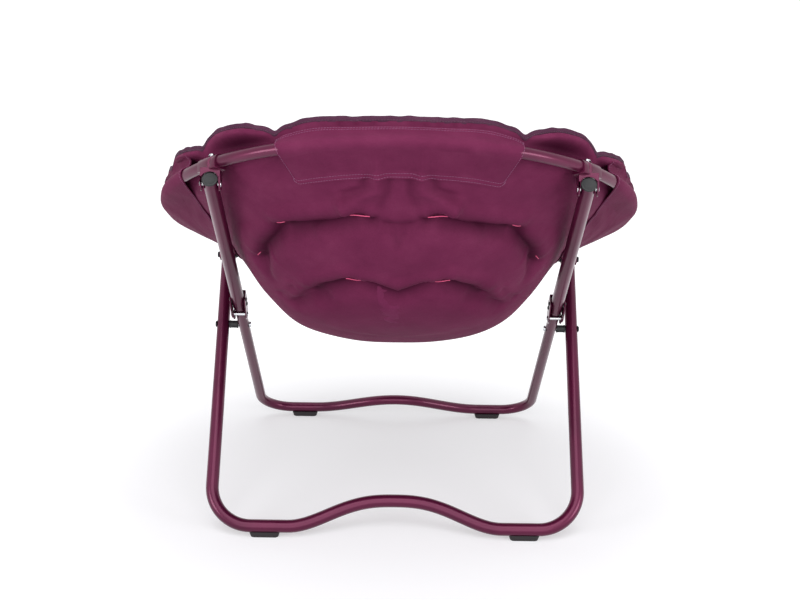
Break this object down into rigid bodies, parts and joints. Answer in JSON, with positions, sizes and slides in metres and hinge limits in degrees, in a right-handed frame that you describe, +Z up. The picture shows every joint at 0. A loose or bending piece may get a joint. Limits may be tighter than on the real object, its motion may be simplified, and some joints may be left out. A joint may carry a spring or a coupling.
{
  "type": "folding saucer chair",
  "caption": "Folding saucer chair: a padded fabric bucket seat on a tilted tubular hoop, carried by two crossing U legs and two folding struts.",
  "frame": {"origin": "on the floor under the middle of the chair's bounding box", "axes": "+X to the right of the chair seen from its front; +Y to the rear; +Z up; the seat faces -Y"},
  "size_m": [0.8872, 0.8402, 0.8457],
  "materials": {
    "plum_paint": "gloss powder coat",
    "black_plastic": "matte moulded",
    "bright_steel": "zinc plated",
    "black_steel": "black oxide",
    "plum_cloth": "smooth woven polyester",
    "binding": "woven tape"
  },
  "bodies": {
    "rear_leg": {"rear_leg_tube": "plum_paint", "leg_top_plug_left": "black_plastic", "leg_top_plug_right": "black_plastic", "rear_foot_left": "black_plastic", "rear_foot_right": "black_plastic", "crossing_spacer_left": "black_plastic", "crossing_spacer_right": "black_plastic", "crossing_bolt_left": "black_steel", "crossing_bolt_right": "black_steel"},
    "seat_hoop": {"hoop_tube": "plum_paint", "hoop_joiner": "bright_steel", "front_bracket_left": "plum_paint", "front_bracket_right": "plum_paint", "front_pivot_bolt_left": "black_steel", "front_pivot_bolt_right": "black_steel", "rear_clevis_left": "plum_paint", "rear_clevis_right": "plum_paint", "saddle_bolt_left": "bright_steel", "saddle_bolt_right": "bright_steel", "rear_pivot_rivet_left": "bright_steel", "rear_pivot_rivet_right": "bright_steel", "seat_shell": "plum_cloth", "rear_flap": "plum_cloth", "side_sleeve_left": "plum_cloth", "side_sleeve_right": "plum_cloth", "rim_binding": "binding", "rim_pad_rear": "plum_cloth", "rim_pad_rear_left": "plum_cloth", "rim_pad_rear_right": "plum_cloth", "rim_pad_side_left": "plum_cloth", "rim_pad_side_right": "plum_cloth", "rim_pad_front_left": "plum_cloth", "rim_pad_front_right": "plum_cloth", "rim_pad_front": "plum_cloth", "back_pad": "plum_cloth", "side_pad_left": "plum_cloth", "side_pad_right": "plum_cloth", "front_pad": "plum_cloth", "base_pad": "plum_cloth"},
    "struts": {"strut_tube_left": "plum_paint", "strut_tube_right": "plum_paint", "strut_end_cap_left": "black_plastic", "strut_end_cap_right": "black_plastic", "elbow_upper_channel_left": "plum_paint", "elbow_upper_channel_right": "plum_paint", "elbow_pin_left": "bright_steel", "elbow_pin_right": "bright_steel", "elbow_upper_rivet_left_1": "black_steel", "elbow_upper_rivet_left_2": "black_steel", "elbow_upper_rivet_right_1": "black_steel", "elbow_upper_rivet_right_2": "black_steel"},
    "front_leg": {"front_leg_tube": "plum_paint", "front_foot_left": "black_plastic", "front_foot_right": "black_plastic", "crossing_bolt_end_left": "bright_steel", "crossing_bolt_end_right": "bright_steel", "elbow_lower_channel_left": "plum_paint", "elbow_lower_channel_right": "plum_paint", "elbow_lower_rivet_left": "black_steel", "elbow_lower_rivet_right": "black_steel"}
  },
  "joints": [
    {"name": "hoop_fold", "type": "hinge", "parent": "rear_leg", "child": "seat_hoop", "pos_m": [0, -0.1838, 0.45365], "axis": [-1, 0, 0], "range_deg": [0, 68], "deforming": ["seat_shell", "rear_flap", "side_sleeve_left", "side_sleeve_right", "rim_binding", "rim_pad_rear", "rim_pad_rear_left", "rim_pad_rear_right", "rim_pad_side_left", "rim_pad_side_right", "rim_pad_front_left", "rim_pad_front_right", "rim_pad_front", "back_pad", "side_pad_left", "side_pad_right", "front_pad", "base_pad"]},
    {"name": "strut_swing", "type": "hinge", "parent": "seat_hoop", "child": "struts", "pos_m": [0, 0.30273, 0.71563], "axis": [-1, 0, 0], "range_deg": [0, 18.9]},
    {"name": "elbow_fold", "type": "hinge", "parent": "struts", "child": "front_leg", "pos_m": [0, -0.02215, 0.3789], "axis": [1, 0, 0], "range_deg": [0, 163.3]}
  ],
  "couplings": [
    {"joint": "strut_swing", "follows": "hoop_fold", "ratio": 0.27788},
    {"joint": "elbow_fold", "follows": "hoop_fold", "ratio": 2.4002}
  ]
}
